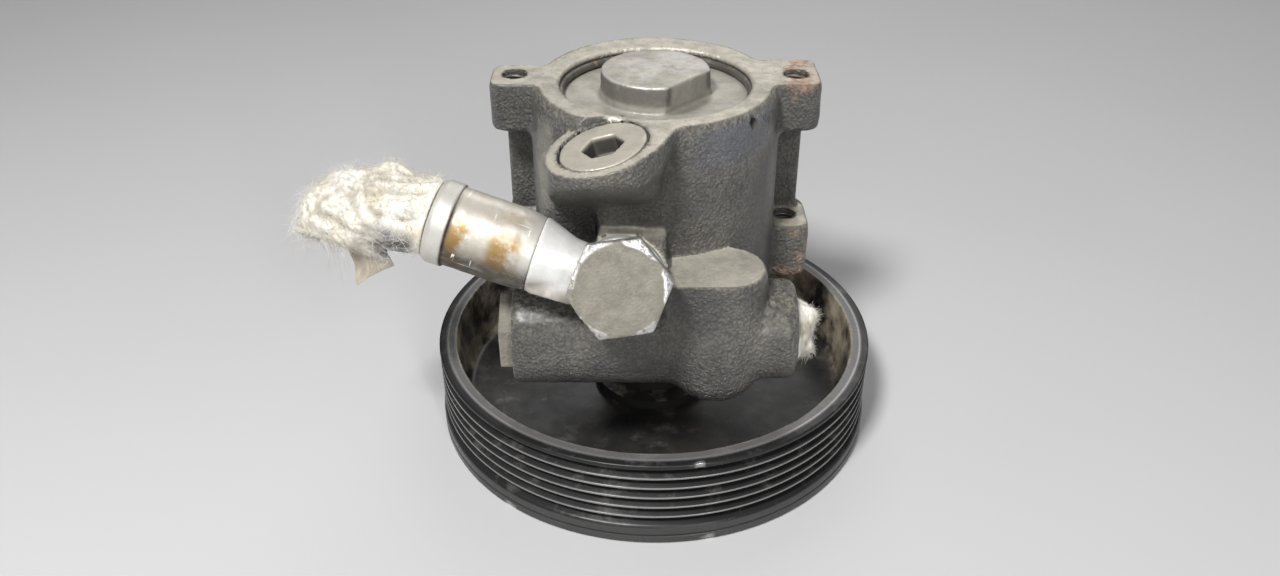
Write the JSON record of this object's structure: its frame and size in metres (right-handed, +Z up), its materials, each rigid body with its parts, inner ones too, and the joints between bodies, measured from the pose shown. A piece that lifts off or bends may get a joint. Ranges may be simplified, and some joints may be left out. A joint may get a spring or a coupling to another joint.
{
  "type": "power steering pump",
  "caption": "Vane power steering pump in a cast housing with a dished poly-V belt pulley, angled banjo outlet, side suction port and mounting ears.",
  "frame": {"origin": "on the shaft axis, in the plane of the pulley's lower lip that the pump stands on", "axes": "+Z up along the shaft towards the end cover, -Y towards the outlet bolt, +X towards the suction port"},
  "size_m": [0.1622, 0.1405, 0.1164],
  "materials": {
    "cast_housing": "rough sand casting, oily and dusty",
    "plug_steel": "turned steel, dusty",
    "cover_metal": "machined face, dull",
    "seal_rubber": "matt",
    "wire_steel": "oiled wire",
    "spring_steel": "oiled wire",
    "ground_steel": "ground",
    "bush_bronze": "turned bronze",
    "bearing_steel": "polished",
    "cage_brass": "pressed brass",
    "bolt_steel": "dusty face, bare worn corners",
    "washer_copper": "soft copper",
    "fitting_zinc": "zinc plated, worn",
    "sleeve_zinc": "yellow zinc, stained",
    "hose_rubber": "matt",
    "rag_cloth": "fluffy off-white cloth",
    "pulley_black": "black, belt crests polished bare",
    "hub_steel": "oiled dark steel"
  },
  "bodies": {
    "pump_body": {"housing": "cast_housing", "gallery_plug": "plug_steel", "end_cover": "cover_metal", "end_cover_seal": "seal_rubber", "retaining_ring": "wire_steel", "pressure_plate_spring": "spring_steel", "pressure_plate": "ground_steel", "pressure_plate_seal": "seal_rubber", "cam_ring": "ground_steel", "thrust_plate": "ground_steel", "dowel_pins": "ground_steel", "shaft_bushing": "bush_bronze", "shaft_seal": "seal_rubber", "bearing_outer_race": "bearing_steel", "snap_ring": "wire_steel", "valve_spring": "spring_steel", "valve_plug": "plug_steel", "valve_plug_seal": "seal_rubber", "banjo_bolt": "bolt_steel", "washer_outer": "washer_copper", "washer_inner": "washer_copper", "banjo_fitting": "fitting_zinc", "hose_sleeve": "sleeve_zinc", "hose_stub": "hose_rubber", "outlet_rag": "rag_cloth", "suction_rag": "rag_cloth"},
    "rotating_group": {"pulley": "pulley_black", "pulley_hub": "hub_steel", "drive_shaft": "ground_steel", "rotor": "ground_steel", "rotor_ring": "wire_steel", "bearing_inner_race": "bearing_steel"},
    "ball_cage": {"bearing_cage": "cage_brass", "bearing_balls": "bearing_steel"},
    "flow_valve": {"valve_spool": "ground_steel", "relief_seat": "ground_steel", "relief_spring": "spring_steel"},
    "relief_valve": {"relief_ball": "bearing_steel"},
    "vane_1": {"vane_1": "ground_steel"},
    "vane_2": {"vane_2": "ground_steel"},
    "vane_3": {"vane_3": "ground_steel"},
    "vane_4": {"vane_4": "ground_steel"},
    "vane_5": {"vane_5": "ground_steel"},
    "vane_6": {"vane_6": "ground_steel"},
    "vane_7": {"vane_7": "ground_steel"},
    "vane_8": {"vane_8": "ground_steel"},
    "vane_9": {"vane_9": "ground_steel"},
    "vane_10": {"vane_10": "ground_steel"}
  },
  "joints": [
    {"name": "pulley_spin", "type": "hinge", "parent": "pump_body", "child": "rotating_group", "pos_m": [0, 0, 0], "axis": [0, 0, 1], "continuous": true},
    {"name": "cage_spin", "type": "hinge", "parent": "pump_body", "child": "ball_cage", "pos_m": [0, 0, 0.0317], "axis": [0, 0, 1], "continuous": true},
    {"name": "flow_valve_slide", "type": "slide", "parent": "pump_body", "child": "flow_valve", "axis": [1, 0, 0], "range_m": [-0.005, 0], "stiffness_N_per_m": 6000, "springref_m": 0.003, "deforming": ["valve_spring"]},
    {"name": "relief_ball_slide", "type": "slide", "parent": "flow_valve", "child": "relief_valve", "axis": [1, 0, 0], "range_m": [-0.0008, 0], "stiffness_N_per_m": 400, "springref_m": 0.002, "deforming": ["relief_spring"]},
    {"name": "vane_1_slide", "type": "slide", "parent": "rotating_group", "child": "vane_1", "axis": [1, 0, 0], "range_m": [-0.0012, 0.0005]},
    {"name": "vane_2_slide", "type": "slide", "parent": "rotating_group", "child": "vane_2", "axis": [0.809, 0.5878, 0], "range_m": [-0.0012, 0.0005]},
    {"name": "vane_3_slide", "type": "slide", "parent": "rotating_group", "child": "vane_3", "axis": [0.309, 0.9511, 0], "range_m": [-0.0012, 0.0005]},
    {"name": "vane_4_slide", "type": "slide", "parent": "rotating_group", "child": "vane_4", "axis": [-0.309, 0.9511, 0], "range_m": [-0.0012, 0.0005]},
    {"name": "vane_5_slide", "type": "slide", "parent": "rotating_group", "child": "vane_5", "axis": [-0.809, 0.5878, 0], "range_m": [-0.0012, 0.0005]},
    {"name": "vane_6_slide", "type": "slide", "parent": "rotating_group", "child": "vane_6", "axis": [-1, 0, 0], "range_m": [-0.0012, 0.0005]},
    {"name": "vane_7_slide", "type": "slide", "parent": "rotating_group", "child": "vane_7", "axis": [-0.809, -0.5878, 0], "range_m": [-0.0012, 0.0005]},
    {"name": "vane_8_slide", "type": "slide", "parent": "rotating_group", "child": "vane_8", "axis": [-0.309, -0.9511, 0], "range_m": [-0.0012, 0.0005]},
    {"name": "vane_9_slide", "type": "slide", "parent": "rotating_group", "child": "vane_9", "axis": [0.309, -0.9511, 0], "range_m": [-0.0012, 0.0005]},
    {"name": "vane_10_slide", "type": "slide", "parent": "rotating_group", "child": "vane_10", "axis": [0.809, -0.5878, 0], "range_m": [-0.0012, 0.0005]}
  ],
  "couplings": [
    {"joint": "cage_spin", "follows": "pulley_spin", "ratio": 0.42}
  ]
}
